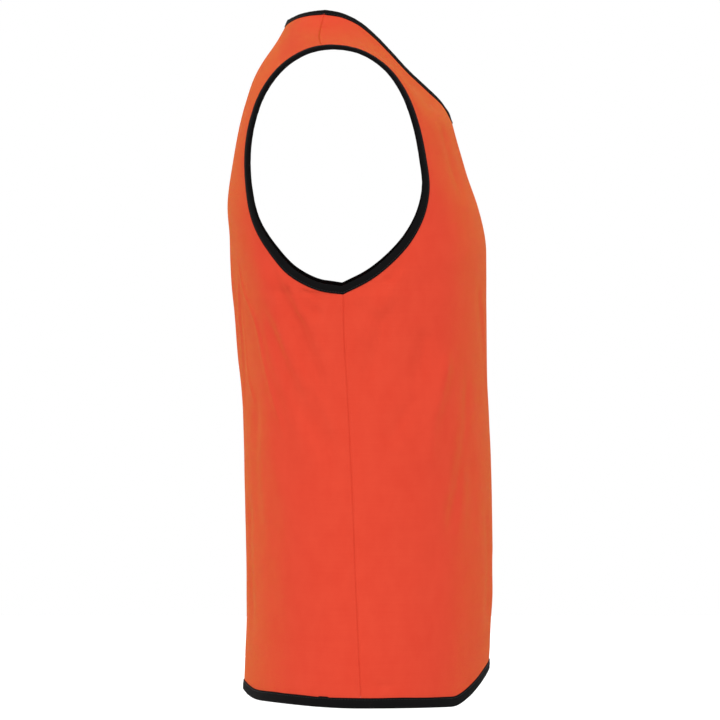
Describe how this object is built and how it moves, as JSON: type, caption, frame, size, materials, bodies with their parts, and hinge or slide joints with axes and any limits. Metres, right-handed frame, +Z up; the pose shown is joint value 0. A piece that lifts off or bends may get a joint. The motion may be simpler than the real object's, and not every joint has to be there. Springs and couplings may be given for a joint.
{
  "type": "reversible rugby bib",
  "caption": "Sleeveless V-neck training bib in double-knit cloth, in its worn hollow form, with contrast tape folded round neck, armholes and hem.",
  "frame": {"origin": "midway between the two shoulder straps at the height of the shoulders, where the wearer holds the bib up", "axes": "+Z up from hem to shoulders, -Y towards the chest, +X towards the wearer's left"},
  "size_m": [0.419, 0.2865, 0.7475],
  "materials": {
    "orange_knit": "matt double knit",
    "black_tape": "matt woven tape"
  },
  "bodies": {
    "root": {"front_panel": "orange_knit", "back_panel": "orange_knit", "neck_binding": "black_tape", "armhole_binding_left": "black_tape", "armhole_binding_right": "black_tape", "hem_binding": "black_tape"}
  },
  "joints": []
}
